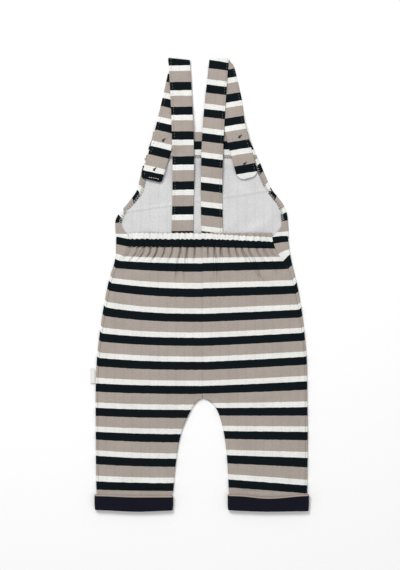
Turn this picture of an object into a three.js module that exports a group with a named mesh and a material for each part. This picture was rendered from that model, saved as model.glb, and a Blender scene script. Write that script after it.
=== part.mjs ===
import * as THREE from 'three';

// Kids bib overalls laid flat with the back up, in millimetres.
// X runs across, Y from the leg hems (Y = 0) to the fold of the straps, Z up from the surface they lie on.
// X = 0 is the centre seam. The bib and the front halves lie underneath, the back halves on top of them.

const { clamp, lerp, smoothstep } = THREE.MathUtils;

// Cloth and how its layers lie
const clothWall = 1.4;
const seamGap = 0.3;
const foldRadius = 1.45;
const cuffWall = 2;
const strapThickness = 2.2;
const bandThickness = 2.8;

// Heights up the garment
const cuffTop = 19.8;
const legEnd = 8;
const archTop = 134.5;
const bandBottom = 316.2;
const bandTop = 333.6;
const waistSeam = 330;
const bibTop = 454.8;

// The crotch arch opens as a root of the way down, eases into straight inseams and leans a little to the left
const archOpen = 4.6;
const archEase = 0.0045;
const archLean = 0.024;
const archBlend = 8;

// Turned hems of the bib
const topHem = 30.6;
const armholeHem = 7;
const hemStep = 0.8;

// Straps, buttons and label
const strapWidth = 27.3;
const strapCorner = 8;
const buttonRadius = 6.5;
const buttonThickness = 2.4;
const labelSize = { out: 5.2, along: 18, thick: 1 };
const labelHeight = 162.6;

// Trousers from hem to waist: distance of the left and right outline from the centre seam, how far in from
// the outline each side seam lies on the back, and how high the upper layer puffs up
const trouserSections = [
  { y: 0, left: 127.8, right: 125.4, seamLeft: 2.8, seamRight: 2.8, loft: 0 },
  { y: 20, left: 127.8, right: 125.4, seamLeft: 2.8, seamRight: 2.8, loft: 0 },
  { y: 32, left: 128.2, right: 125.6, seamLeft: 2.8, seamRight: 2.8, loft: 1.2 },
  { y: 85, left: 129, right: 126.2, seamLeft: 2.8, seamRight: 2.8, loft: 1.5 },
  { y: 140, left: 129, right: 125.6, seamLeft: 2.8, seamRight: 2.8, loft: 1.5 },
  { y: 174, left: 127.8, right: 125.2, seamLeft: 2.8, seamRight: 2.8, loft: 1.5 },
  { y: 217, left: 124.2, right: 121.8, seamLeft: 3.2, seamRight: 3, loft: 1.6 },
  { y: 260, left: 117, right: 115.8, seamLeft: 3.4, seamRight: 4.2, loft: 1.9 },
  { y: 282, left: 112, right: 111, seamLeft: 3.8, seamRight: 4.8, loft: 2.3 },
  { y: 299, left: 106, right: 106.8, seamLeft: 4.6, seamRight: 8.6, loft: 2.8 },
  { y: 312, left: 105, right: 104.5, seamLeft: 14.2, seamRight: 16.6, loft: 3.2 },
  { y: 334, left: 105, right: 102.5, seamLeft: 16.4, seamRight: 19.2, loft: 3.3 },
];

// Bib from the waist seam to its top edge: distance of the left and right edge from the centre seam
const bibSections = [
  { y: 330, left: 105, right: 102.6 },
  { y: 346, left: 104.6, right: 101.8 },
  { y: 354, left: 101.4, right: 101 },
  { y: 364, left: 94.8, right: 98.4 },
  { y: 376, left: 85.4, right: 90.6 },
  { y: 384, left: 80.4, right: 84 },
  { y: 397, left: 76.2, right: 77.4 },
  { y: 426, left: 67.8, right: 65.2 },
  { y: 454.8, left: 59.4, right: 54.6 },
];

// Gathers below the waistband, from the side seam (share 0) to the centre seam (share 1): where the crease
// lies, how deep it is and how far down the panel it reaches
const gathers = {
  left: [
    { share: 0.04, depth: 0.7, reach: 16 },
    { share: 0.135, depth: 1, reach: 24 },
    { share: 0.223, depth: 1, reach: 18 },
    { share: 0.31, depth: 0.9, reach: 16 },
    { share: 0.397, depth: 1.1, reach: 20 },
    { share: 0.496, depth: 0.9, reach: 18 },
    { share: 0.6, depth: 0.8, reach: 24 },
    { share: 0.707, depth: 1.1, reach: 38 },
    { share: 0.8, depth: 1, reach: 26 },
    { share: 0.9, depth: 0.9, reach: 18 },
  ],
  right: [
    { share: 0.055, depth: 0.8, reach: 22 },
    { share: 0.15, depth: 1.1, reach: 30 },
    { share: 0.25, depth: 1, reach: 24 },
    { share: 0.36, depth: 1.1, reach: 36 },
    { share: 0.453, depth: 1, reach: 24 },
    { share: 0.54, depth: 0.9, reach: 16 },
    { share: 0.64, depth: 0.8, reach: 16 },
    { share: 0.745, depth: 1, reach: 20 },
    { share: 0.83, depth: 1.1, reach: 36 },
    { share: 0.925, depth: 0.8, reach: 18 },
  ],
};

// Cuffs: outer and inner edge, as distances from the centre seam
const cuffs = {
  left: { outer: 130.2, inner: 36.8 },
  right: { outer: 127.8, inner: 29.8 },
};

// Straps: where the centre line starts under the waistband, meets the fold and ends on the bib, how far the
// front stretch bows sideways, and the centres of its two buttons
const straps = {
  left: {
    foot: [-22.4, 319.5], fold: [-27.6, 543.6], end: [-60, 396.6], bow: 2.6,
    button: [-46.8, 444], spare: [-57.6, 409.2],
  },
  right: {
    foot: [10.2, 319.5], fold: [16.8, 544.4], end: [55.2, 399.4], bow: 0.5,
    button: [44.4, 448.2], spare: [50.3, 415.8],
  },
};

// Height of the underside of each stretch of a strap: over the waist, the bib, its hem and the bare surface
const strapHeights = [
  { y: 318, back: 1.75, front: 3.4 },
  { y: 372, back: 1.75, front: 3.4 },
  { y: 418, back: 6, front: 3.4 },
  { y: 463, back: 6, front: 3.4 },
  { y: 489, back: 2.8, front: 0 },
  { y: 560, back: 2.8, front: 0 },
];

// A button under the bib lifts it, and a spare one lifts the strap's end, over a soft round patch
const buttonLift = { height: buttonThickness + seamGap, flat: 10, reach: 25 };
const spareLift = { height: 1.4, flat: 9, reach: 20 };

const striped = new THREE.MeshStandardMaterial({ color: 0xa99f98, roughness: 0.9 });
const stripedDark = new THREE.MeshStandardMaterial({ color: 0x16202a, roughness: 0.9 });
const navyRib = new THREE.MeshStandardMaterial({ color: 0x141521, roughness: 0.95 });
const buttonPlastic = new THREE.MeshStandardMaterial({ color: 0x1c1e24, roughness: 0.35 });
const labelTape = new THREE.MeshStandardMaterial({ color: 0xe9e8e4, roughness: 0.8 });

const overalls = new THREE.Group();

function addPiece(name, geometry, material) {
  geometry.computeVertexNormals();
  const piece = new THREE.Mesh(geometry, material.clone());
  piece.name = name;
  overalls.add(piece);
  return piece;
}

// Reads one column of a table at a height y, on a smooth curve that never overshoots its rows
function readTable(table, column, y) {
  const last = table.length - 1;
  const place = clamp(y, table[0].y, table[last].y);
  const i = Math.min(table.findLastIndex((row) => row.y <= place), last - 1);
  const slope = (k) => {
    if (k < 0 || k >= last) return 0;
    return (table[k + 1][column] - table[k][column]) / (table[k + 1].y - table[k].y);
  };
  const tangent = (k) => {
    const before = slope(k - 1);
    const after = slope(k);
    return before * after > 0 ? (2 * before * after) / (before + after) : 0;
  };
  const span = table[i + 1].y - table[i].y;
  const t = (place - table[i].y) / span;
  const rest = 1 - t;
  return table[i][column] * (1 + 2 * t) * rest * rest
    + table[i + 1][column] * (3 - 2 * t) * t * t
    + (tangent(i) * t * rest * rest - tangent(i + 1) * t * t * rest) * span;
}

// A closed cloth wall. surface(u, v) gives its middle, each row lists the u places at one v, and both faces
// lie half the thickness to either side. Neighbouring rows may have different numbers of places.
function clothSolid(surface, rows, thickness, { ring = false, upright = false } = {}) {
  const nudge = 0.01;
  const nudgeAcross = 0.002;
  const positions = [];
  const triangles = [];
  const starts = [];
  const at = (u, v) => surface(ring ? (u + 1) % 1 : u, v);
  rows.forEach(({ v, places }) => {
    starts.push(positions.length / 3);
    places.forEach((u) => {
      const along = at(u + nudgeAcross, v).sub(at(u - nudgeAcross, v));
      const up = at(u, v + nudge).sub(at(u, v - nudge));
      const out = upright ? new THREE.Vector3(0, 0, 1) : along.cross(up).normalize();
      const half = (typeof thickness === 'function' ? thickness(u, v) : thickness) / 2;
      const middle = surface(u, v);
      [half, -half].forEach((step) => positions.push(...middle.clone().addScaledVector(out, step).toArray()));
    });
  });
  const corner = (row, i, face) => starts[row] + 2 * (i % rows[row].places.length) + face;
  const strip = (row, i, j, stepFirst) => {
    const next = row + 1;
    if (stepFirst) {
      triangles.push(corner(row, i, 0), corner(row, i + 1, 0), corner(next, j, 0));
      triangles.push(corner(row, i, 1), corner(next, j, 1), corner(row, i + 1, 1));
    } else {
      triangles.push(corner(row, i, 0), corner(next, j + 1, 0), corner(next, j, 0));
      triangles.push(corner(row, i, 1), corner(next, j, 1), corner(next, j + 1, 1));
    }
  };
  const edge = (rowA, i, rowB, j) => {
    triangles.push(corner(rowA, i, 0), corner(rowB, j, 0), corner(rowB, j, 1));
    triangles.push(corner(rowA, i, 0), corner(rowB, j, 1), corner(rowA, i, 1));
  };
  const steps = (row) => rows[row].places.length - (ring ? 0 : 1);
  for (let row = 0; row + 1 < rows.length; row += 1) {
    const lower = rows[row].places;
    const upper = rows[row + 1].places;
    let i = 0;
    let j = 0;
    while (i < steps(row) || j < steps(row + 1)) {
      const nextLower = i < steps(row) ? lower[i + 1] ?? 1 : Infinity;
      const nextUpper = j < steps(row + 1) ? upper[j + 1] ?? 1 : Infinity;
      const stepFirst = nextLower <= nextUpper;
      strip(row, i, j, stepFirst);
      if (stepFirst) i += 1;
      else j += 1;
    }
    if (!ring) {
      edge(row, 0, row + 1, 0);
      edge(row + 1, steps(row + 1), row, steps(row));
    }
  }
  const top = rows.length - 1;
  for (let i = 0; i < steps(0); i += 1) edge(0, i + 1, 0, i);
  for (let i = 0; i < steps(top); i += 1) edge(top, i, top, i + 1);
  return outwardGeometry(positions, triangles);
}

// Turns the triangles round where they enclose a negative volume, so that every face points out
function outwardGeometry(positions, triangles) {
  const point = (k) => new THREE.Vector3().fromArray(positions, 3 * k);
  let volume = 0;
  for (let k = 0; k < triangles.length; k += 3) {
    const [a, b, c] = [point(triangles[k]), point(triangles[k + 1]), point(triangles[k + 2])];
    volume += a.dot(b.cross(c));
  }
  const geometry = new THREE.BufferGeometry();
  geometry.setAttribute('position', new THREE.Float32BufferAttribute(positions, 3));
  geometry.setIndex(volume < 0 ? triangles.reverse() : triangles);
  return geometry;
}

// Soft round patch that something underneath lifts
function patch(x, y, centre, { height, flat, reach }) {
  return height * (1 - smoothstep(Math.hypot(x - centre[0], y - centre[1]), flat, reach));
}

const buttonPatches = (x, y) => Object.values(straps)
  .reduce((sum, strap) => sum + patch(x, y, strap.button, buttonLift), 0);

// Trouser halves. m is the distance from the centre seam on one side, so both sides share one drawing.

const sides = { left: -1, right: 1 };
const curlLimit = Math.acos(seamGap / 2 / foldRadius);
const insideCuff = (y) => 1 - smoothstep(y, cuffTop, cuffTop + 11);
const curl = (y) => curlLimit * (1 - smoothstep(y, archTop, archTop + archBlend));

// Layers of one side at a height y: the edges of the middle surface, its level underneath and its fold
function layersAt(side, y) {
  const tucked = insideCuff(y);
  const down = Math.max(archTop - y, 0);
  const opening = (archOpen * Math.sqrt(down)) / (1 + archEase * down) - sides[side] * archLean * down;
  const roundIn = (clothWall / 2) * Math.sin(curl(y));
  const outline = readTable(trouserSections, side, y);
  const column = side === 'left' ? 'seamLeft' : 'seamRight';
  const edge = lerp(opening, cuffs[side].inner + cuffWall + 0.4, tucked);
  return {
    outer: outline - clothWall / 2,
    inner: seamGap / 2 + edge + roundIn,
    seam: outline - readTable(trouserSections, column, y),
    level: clothWall / 2 + tucked * (cuffWall + seamGap),
    radius: lerp(foldRadius, foldRadius - 0.5, tucked),
    loft: readTable(trouserSections, 'loft', y),
  };
}

// Front half: curl at the inseam, flat underneath, round the side fold and in to the side seam
const frontBreaks = { curl: 0.2, flat: 0.5, fold: 0.8 };

function frontSurface(side) {
  return (u, y) => {
    const { outer, inner, seam, level, radius } = layersAt(side, y);
    const angle = Math.min(curl(y), Math.acos(seamGap / 2 / radius));
    const flatStart = inner + radius * Math.sin(angle);
    let m;
    let z;
    if (u < frontBreaks.curl) {
      const turn = angle * (1 - u / frontBreaks.curl);
      m = flatStart - radius * Math.sin(turn);
      z = level + radius * (1 - Math.cos(turn));
    } else if (u < frontBreaks.flat) {
      m = lerp(flatStart, outer - radius, (u - frontBreaks.curl) / (frontBreaks.flat - frontBreaks.curl));
      z = level;
    } else if (u < frontBreaks.fold) {
      const turn = (Math.PI * (u - frontBreaks.flat)) / (frontBreaks.fold - frontBreaks.flat);
      m = outer - radius + radius * Math.sin(turn);
      z = level + radius * (1 - Math.cos(turn));
    } else {
      const share = (u - frontBreaks.fold) / (1 - frontBreaks.fold);
      m = lerp(outer - radius, seam + seamGap / 2, share);
      z = level + 2 * radius;
    }
    return new THREE.Vector3(sides[side] * m, y, z);
  };
}

// Wave of the gathers: lowest on each crease, highest halfway between two
function gatherWave(side, share, y) {
  const creases = gathers[side];
  const last = creases.length - 1;
  const k = clamp(creases.findLastIndex((crease) => crease.share <= share), 0, last - 1);
  const phase = (share - creases[k].share) / (creases[k + 1].share - creases[k].share);
  const mix = clamp(phase, 0, 1);
  const depth = lerp(creases[k].depth, creases[k + 1].depth, mix);
  const reach = lerp(creases[k].reach, creases[k + 1].reach, mix);
  return -depth * Math.cos(2 * Math.PI * phase) * (1 - smoothstep(bandBottom - y, 0, reach));
}

// Places across a gathered row: a few for each crease, so that every crease and crest is met
function gatherPlaces(side, perCrease) {
  const creases = gathers[side];
  const places = [0];
  for (let k = 0; k + 1 < creases.length; k += 1) {
    for (let step = 0; step < perCrease; step += 1) {
      places.push(lerp(creases[k].share, creases[k + 1].share, step / perCrease));
    }
  }
  return [...places, creases.at(-1).share, 1];
}

// Height of the upper layer above the fold's top: rounded up to the centre seam, or over each leg
function puff(share, y, loft) {
  const open = curl(y) / curlLimit;
  return loft * lerp(1 - (1 - share) ** 3, Math.sin(Math.PI * share), open);
}

// Back half: from the side seam across the top, then curled down to the inseam
const backBreak = 0.85;

function backSurface(side) {
  return (u, y) => {
    const { inner, seam, level, radius, loft } = layersAt(side, y);
    const angle = Math.min(curl(y), Math.acos(seamGap / 2 / radius));
    const share = Math.min(u / backBreak, 1);
    const start = seam - seamGap / 2;
    const topEnd = inner + radius * Math.sin(angle);
    const turn = angle * Math.max((u - backBreak) / (1 - backBreak), 0);
    const m = lerp(start, topEnd, share) - radius * Math.sin(turn);
    const z = level + radius * (1 + Math.cos(turn)) + puff(share, y, loft) + gatherWave(side, share, y);
    return new THREE.Vector3(sides[side] * m, y, z);
  };
}

// Heights of the rows that the front and back halves share, closer together round the crotch arch
const legRows = [legEnd, 14, 20, 24, 28, 34, 48, 64, 80, 96];
const archRows = [7, 6, 5, 4, 3, 2, 1].map((k) => archTop - 0.5 * k * k);
const hipRows = [archTop, 137, 140, 144, 156, 174, 196, 218, 240, 260, 272, 280, 288, 294];
const waistRows = [300, 306, 311, 313.5, bandBottom];

const curledFront = [0, 0.07, 0.14, 0.2, 0.3, 0.4, 0.5, 0.575, 0.65, 0.725, 0.8, 1];
const flatFront = [0.2, 0.3, 0.4, 0.5, 0.575, 0.65, 0.725, 0.8, 1];
const curledBack = [0, 0.09, 0.2, 0.35, 0.5, 0.65, 0.78, 0.85, 0.9, 0.95, 1];
const flatBack = [0, 0.09, 0.2, 0.35, 0.5, 0.65, 0.78, 0.85];

const isCurled = (y) => curl(y) > 0.05;

function frontHalf(side) {
  const heights = [...legRows, ...archRows, ...hipRows, ...waistRows, 323, waistSeam];
  const rows = heights.map((y) => ({ v: y, places: isCurled(y) ? curledFront : flatFront }));
  return clothSolid(frontSurface(side), rows, clothWall);
}

function backHalf(side) {
  const fine = gatherPlaces(side, 4).map((share) => share * backBreak);
  const medium = gatherPlaces(side, 2).map((share) => share * backBreak);
  const plain = [...legRows, ...archRows, ...hipRows.slice(0, -3)];
  const rows = [
    ...plain.map((y) => ({ v: y, places: isCurled(y) ? curledBack : flatBack })),
    ...hipRows.slice(-3).map((y) => ({ v: y, places: medium })),
    ...waistRows.map((y) => ({ v: y, places: fine })),
  ];
  return clothSolid(backSurface(side), rows, clothWall);
}

// Elastic casing across the back, rippled by the same gathers. u runs from the left side seam to the right.
function waistbandSurface(u, y) {
  const side = u < 0.5 ? 'left' : 'right';
  const share = 1 - Math.abs(2 * u - 1);
  const { seam, level, radius, loft } = layersAt(side, y);
  const m = (seam - seamGap / 2) * (1 - share);
  const ripple = 0.75 * gatherWave(side, share, bandBottom);
  const z = level + 2 * radius + puff(share, y, loft) + ripple;
  return new THREE.Vector3(sides[side] * m, y, z);
}

function waistband() {
  const left = gatherPlaces('left', 4).map((share) => share / 2);
  const right = gatherPlaces('right', 4).map((share) => 1 - share / 2).reverse();
  const places = [...left, ...right.slice(1)];
  const rows = [bandBottom + seamGap, 318.5, 325, 331.4, bandTop].map((y) => ({ v: y, places }));
  const rounded = (u, y) => (y < 318 || y > 332 ? 0.6 : 1) * bandThickness;
  return clothSolid(waistbandSurface, rows, rounded);
}

// Bib: a flat panel whose hems are a second layer on its inside. u 0.05 and 0.95 are the armhole hems' edges.
const hemBreaks = { edge: 0.05, step: 0.06 };

function bibDepth(u, y) {
  const hemmed = Math.min(u, 1 - u) < hemBreaks.edge + 1e-6 || y > bibTop - topHem + hemStep / 2;
  return hemmed ? 2 * clothWall : clothWall;
}

function bibSurface(u, y) {
  const left = -readTable(bibSections, 'left', y);
  const right = readTable(bibSections, 'right', y);
  const share = Math.min(u, 1 - u);
  const fromEdge = share < hemBreaks.edge
    ? armholeHem * (share / hemBreaks.edge)
    : armholeHem + hemStep * Math.min((share - hemBreaks.edge) / (hemBreaks.step - hemBreaks.edge), 1);
  const inward = (u - hemBreaks.step) / (1 - 2 * hemBreaks.step);
  let x = lerp(left + armholeHem + hemStep, right - armholeHem - hemStep, inward);
  if (share < hemBreaks.step) x = u < 0.5 ? left + fromEdge : right - fromEdge;
  return new THREE.Vector3(x, y, buttonPatches(x, y) + bibDepth(u, y) / 2);
}

function bib() {
  const inner = Array.from({ length: 13 }, (_, k) => lerp(hemBreaks.step, 1 - hemBreaks.step, k / 12));
  const places = [0, hemBreaks.edge, ...inner, 1 - hemBreaks.edge, 1];
  const hemEdge = bibTop - topHem;
  const heights = [
    waistSeam + seamGap, 340, 346, 350, 357, 364, 370, 376, 384, 397, 410,
    hemEdge, hemEdge + hemStep, 430, 436, 442, 448, bibTop,
  ];
  return clothSolid(bibSurface, heights.map((y) => ({ v: y, places })), bibDepth, { upright: true });
}

// Turned-up cuff: a flattened tube round the leg's end. u runs along the underside, round the outer fold,
// back over the top and round the inner fold.
const cuffBreaks = { under: 0.3, outerFold: 0.5, over: 0.8 };
const cuffRadius = (cuffWall + clothWall) / 2 + seamGap + (foldRadius - 0.5);
const cuffCorner = 1.6;

function cuff(side) {
  const { under, outerFold, over } = cuffBreaks;
  const surface = (u, y) => {
    const drawnIn = cuffCorner * (1 - smoothstep(y, 0, legEnd));
    const near = cuffs[side].inner + cuffWall / 2 + cuffRadius + drawnIn;
    const far = cuffs[side].outer - cuffWall / 2 - cuffRadius - drawnIn;
    let m = far;
    let turn = 0;
    if (u < under) {
      m = lerp(near, far, u / under);
    } else if (u < outerFold) {
      turn = (Math.PI * (u - under)) / (outerFold - under);
    } else if (u < over) {
      m = lerp(far, near, (u - outerFold) / (over - outerFold));
      turn = Math.PI;
    } else {
      m = near;
      turn = Math.PI * (1 + (u - over) / (1 - over));
    }
    const x = sides[side] * (m + cuffRadius * Math.sin(turn));
    return new THREE.Vector3(x, y, cuffWall / 2 + cuffRadius * (1 - Math.cos(turn)));
  };
  const places = [0, 0.1, 0.2, 0.3, 0.34, 0.38, 0.42, 0.46, 0.5, 0.6, 0.7, 0.8, 0.84, 0.88, 0.92, 0.96];
  const rows = [0, 1.4, 6, 13.8, 18.4, cuffTop].map((y) => ({ v: y, places }));
  const softEdges = (u, y) => (y < 1 || y > 19 ? 0.5 : 1) * cuffWall;
  return clothSolid(surface, rows, softEdges, { ring: true });
}

// Strap: a flat tube from under the waistband up to its fold, turned over there and down onto the bib.
// u runs across it and s along it, 0 at the start of the fold and negative below it on the back.
function strapShape({ foot, fold, end, bow, spare }) {
  const top = new THREE.Vector2(...fold);
  const back = top.clone().sub(new THREE.Vector2(...foot)).normalize();
  const front = new THREE.Vector2(...end).sub(top).normalize();
  const crease = back.clone().add(front).normalize();
  let normal = new THREE.Vector2(-crease.y, crease.x);
  if (normal.dot(back) < 0) normal = normal.negate();
  const across = new THREE.Vector2(back.y, -back.x);
  const { back: backHeight, front: frontHeight } = strapHeights.at(-1);
  const radius = (backHeight - frontHeight) / 2;
  const start = top.clone().addScaledVector(normal, -(radius + strapThickness / 2));
  const backLength = start.distanceTo(new THREE.Vector2(...foot));
  const frontLength = start.distanceTo(new THREE.Vector2(...end)) + Math.PI * radius;

  const surface = (u, s) => {
    const left = Math.max(frontLength - s, 0);
    const corner = Math.max(strapCorner - left, 0);
    const width = strapWidth - 2 * (strapCorner - Math.sqrt(strapCorner ** 2 - corner ** 2));
    const side = (u - 0.5) * width;
    const slanted = smoothstep(s, -80, -20) * (1 - smoothstep(s, 30, 90));
    const along = s - (side * slanted * across.dot(normal)) / back.dot(normal);
    const flat = back.clone().multiplyScalar(along).addScaledVector(across, side);
    const a = flat.dot(crease);
    const b = flat.dot(normal);
    const roll = clamp(b / radius, 0, Math.PI);
    const beyond = Math.max(b - Math.PI * radius, 0);
    const place = start.clone().addScaledVector(crease, a);
    place.addScaledVector(normal, Math.min(b, 0) + radius * Math.sin(roll) - beyond);
    place.x += bow * Math.sin(Math.PI * clamp(beyond / frontLength, 0, 1));
    const upper = readTable(strapHeights, 'back', place.y);
    const lower = readTable(strapHeights, 'front', place.y) + patch(place.x, place.y, spare, spareLift);
    const height = lerp(lower, upper, (1 + Math.cos(roll)) / 2);
    const lift = buttonPatches(place.x, place.y);
    return new THREE.Vector3(place.x, place.y, height + lift + strapThickness / 2);
  };
  return { surface, backLength, frontLength, roll: Math.PI * radius };
}

function strap(side) {
  const { surface, backLength, frontLength, roll } = strapShape(straps[side]);
  const places = [0, 0.08, 0.3, 0.5, 0.7, 0.92, 1];
  const spread = (from, to, count) => Array.from({ length: count }, (_, k) => lerp(from, to, k / count));
  const corner = [0.6, 0.35, 0.12, 0.02].map((share) => frontLength - strapCorner * share);
  const stations = [
    ...spread(-backLength, -6, 22),
    ...[-6, -2, 0, 0.25 * roll, 0.5 * roll, 0.75 * roll, roll, roll + 2],
    ...spread(roll + 6, frontLength - strapCorner, 15),
    frontLength - strapCorner,
    ...corner,
  ];
  const thin = (u) => (Math.min(u, 1 - u) < 0.01 ? 0.5 : 1) * strapThickness;
  return clothSolid(surface, stations.map((s) => ({ v: s, places })), thin);
}

// Button: a turned disc with a rounded rim and a dished middle
function button(x, y, z) {
  const rim = buttonRadius;
  const profile = [
    [0, 0], [rim - 0.9, 0], [rim, 0.8], [rim, 1.6], [rim - 0.8, buttonThickness],
    [rim - 1.8, buttonThickness], [rim - 2.4, 1.9], [0, 1.9],
  ].map(([r, h]) => new THREE.Vector2(r, h));
  return new THREE.LatheGeometry(profile, 18).rotateX(Math.PI / 2).translate(x, y, z);
}

// The bib and the trousers
addPiece('bib', bib(), striped);
for (const side of ['left', 'right']) {
  addPiece(`front_${side}`, frontHalf(side), striped);
  addPiece(`back_${side}`, backHalf(side), striped);
  addPiece(`cuff_${side}`, cuff(side), navyRib);
}
addPiece('back_waistband', waistband(), stripedDark);

// The straps with their buttons: one below the bib at its buttonhole, a spare one above the bib
for (const side of ['left', 'right']) {
  const { button: sewn, spare } = straps[side];
  addPiece(`strap_${side}`, strap(side), stripedDark);
  addPiece(`button_${side}`, button(...sewn, 0), buttonPlastic);
  addPiece(`spare_button_${side}`, button(...spare, clothWall + seamGap), buttonPlastic);
}

// The folded tab that stands out of the left side seam
const sideFold = readTable(trouserSections, 'left', labelHeight - labelSize.along / 2) + seamGap;
const label = new THREE.BoxGeometry(labelSize.out, labelSize.along, labelSize.thick);
label.translate(-sideFold - labelSize.out / 2, labelHeight, clothWall / 2 + foldRadius);
addPiece('side_label', label, labelTape);

// The origin is the middle of the outline, on the surface that the overalls lie on
const extent = new THREE.Box3().setFromObject(overalls);
const middle = extent.getCenter(new THREE.Vector3());
overalls.position.set(-middle.x, -middle.y, -extent.min.z);
overalls.updateMatrixWorld(true);

export default overalls;
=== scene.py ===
import math
from functools import lru_cache

import bmesh
import bpy
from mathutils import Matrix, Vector


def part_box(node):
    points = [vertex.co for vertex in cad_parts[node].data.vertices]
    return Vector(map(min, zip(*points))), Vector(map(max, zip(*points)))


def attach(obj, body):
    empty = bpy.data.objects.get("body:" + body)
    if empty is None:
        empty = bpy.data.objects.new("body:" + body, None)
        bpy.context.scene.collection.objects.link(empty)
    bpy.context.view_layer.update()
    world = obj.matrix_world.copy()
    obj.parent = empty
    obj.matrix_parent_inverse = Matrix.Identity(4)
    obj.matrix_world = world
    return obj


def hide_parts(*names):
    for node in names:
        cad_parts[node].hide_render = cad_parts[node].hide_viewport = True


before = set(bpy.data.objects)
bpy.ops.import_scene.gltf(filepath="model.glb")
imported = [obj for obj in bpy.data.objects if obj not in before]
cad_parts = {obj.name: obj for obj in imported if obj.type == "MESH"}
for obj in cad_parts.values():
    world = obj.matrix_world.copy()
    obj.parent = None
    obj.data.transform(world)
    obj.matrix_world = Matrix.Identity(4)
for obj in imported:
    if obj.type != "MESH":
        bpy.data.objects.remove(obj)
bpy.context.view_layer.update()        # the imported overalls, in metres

# Bib overalls laid flat with the back up. Shapes are worked out in the garment's own millimetres:
# x from the centre seam, y up from the hems, z up from the floor, and then placed in the frame.

garment = {
    "clothWall": 1.4,
    "seamGap": 0.3,          # between the edges of two sewn pieces
    "closedSeam": 0.02,      # and at the centre back seam, which is pressed shut
    "foldRadius": 1.45,      # middle of the cloth in a side fold
    "legEnd": 8.0,           # legs end inside their cuffs
    "tuckLength": 6.0,       # above a cuff the leg is drawn in over this length
    "tuckedRadius": 0.95,    # its side fold inside the cuff
    "tuckGap": 0.4,          # and the space beside it there
    "archTop": 135.4,        # top of the crotch arch
    "bandBottom": 316.2,
    "bandTop": 333.6,
    "waistSeam": 330.0,
    "bibTop": 454.0,
    "cuffTop": 19.8,
    "cuffWall": 2.0,
    "leftCuffOuter": 130.2,  # the left cuff's outer edge, from the centre seam
}

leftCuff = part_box("cuff_left")[0]
originX = leftCuff.x * 1000 + garment["leftCuffOuter"]
originY = leftCuff.y * 1000


def inFrame(x, y, z):
    return Vector(((x + originX) / 1000, (y + originY) / 1000, z / 1000))


def lerp(a, b, t):
    return a + (b - a) * t


def clamp(value, low=0.0, high=1.0):
    return max(low, min(high, value))


def smooth(value, low, high):
    t = clamp((value - low) / (high - low))
    return t * t * (3 - 2 * t)


def bell(distance, width):
    return math.exp(-(distance / width) ** 2)


def table(columns, *rows):
    return [dict(zip(columns.split(), row)) for row in rows]


# A smooth curve through one column of a table, read by y, that never overshoots its rows
def curveOf(rows, column):
    ys = [row["y"] for row in rows]
    values = [row[column] for row in rows]
    slopes = [(values[k + 1] - values[k]) / (ys[k + 1] - ys[k]) for k in range(len(ys) - 1)]
    tangents = [0.0]
    for before, after in zip(slopes, slopes[1:]):
        tangents.append(2 * before * after / (before + after) if before * after > 0 else 0.0)
    tangents.append(0.0)

    @lru_cache(maxsize=None)
    def read(y):
        y = clamp(y, ys[0], ys[-1])
        k = max(i for i in range(len(ys) - 1) if ys[i] <= y)
        span = ys[k + 1] - ys[k]
        t = (y - ys[k]) / span
        rest = 1 - t
        ends = values[k] * (1 + 2 * t) * rest * rest + values[k + 1] * (3 - 2 * t) * t * t
        return ends + (tangents[k] * t * rest * rest - tangents[k + 1] * t * t * rest) * span

    return read


# Materials

def linear(hexColour):
    channels = [int(hexColour[k:k + 2], 16) / 255 for k in (1, 3, 5)]
    return [c / 12.92 if c <= 0.04045 else ((c + 0.055) / 1.055) ** 2.4 for c in channels] + [1.0]


# Sets a node's inputs to values, to other nodes' outputs or, where a node is given, to its first output
def plugIn(tree, node, inputs):
    for socket, source in inputs.items():
        if isinstance(source, bpy.types.Node):
            source = source.outputs[0]
        if isinstance(source, bpy.types.NodeSocket):
            tree.links.new(source, node.inputs[socket])
        else:
            node.inputs[socket].default_value = source


def addNode(tree, kind, inputs=None, **settings):
    node = tree.nodes.new("ShaderNode" + kind)
    for key, value in settings.items():
        setattr(node, key, value)
    plugIn(tree, node, inputs or {})
    return node


def newMaterial(name):
    material = bpy.data.materials.new(name)
    material.use_nodes = True
    tree = material.node_tree
    shader = tree.nodes["Principled BSDF"]
    return material, tree, shader


jersey = {
    "repeat": 29.3,          # mm of one white, taupe and black stripe together
    "lap": 0.5,              # mm that black reaches into the next repeat
    "white": 6.4,            # mm of white, lowest of the three, then taupe, then black
    "taupe": 13.0,
    "edge": 0.3,             # mm over which one colour gives way to the next
    "waver": 0.5,            # mm that stripe edges wander
    "wanderEvery": 7.0,
    "needleLine": 10.5,      # mm between the faint drawn lines down the cloth
    "rib": 2.4,              # mm: wales of 0.9 mm are drawn this coarse so that they show
    "course": 2.0,
    "napEvery": 1 / 0.55,    # mm from one fleck of the nap to the next
    "patchEvery": 1 / 0.045, # mm from one slightly darker patch to the next
    "relief": 0.0002,        # m that the stitches stand out
}
otherGrain = {               # mm from one fleck or rib to the next
    "cuffNap": 1 / 0.6,
    "threadTwist": 1 / 0.9,
    "resinCloud": 1 / 0.26,
    "tapeRib": 1.2,
    "paperGrain": 2.5,
}


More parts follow.
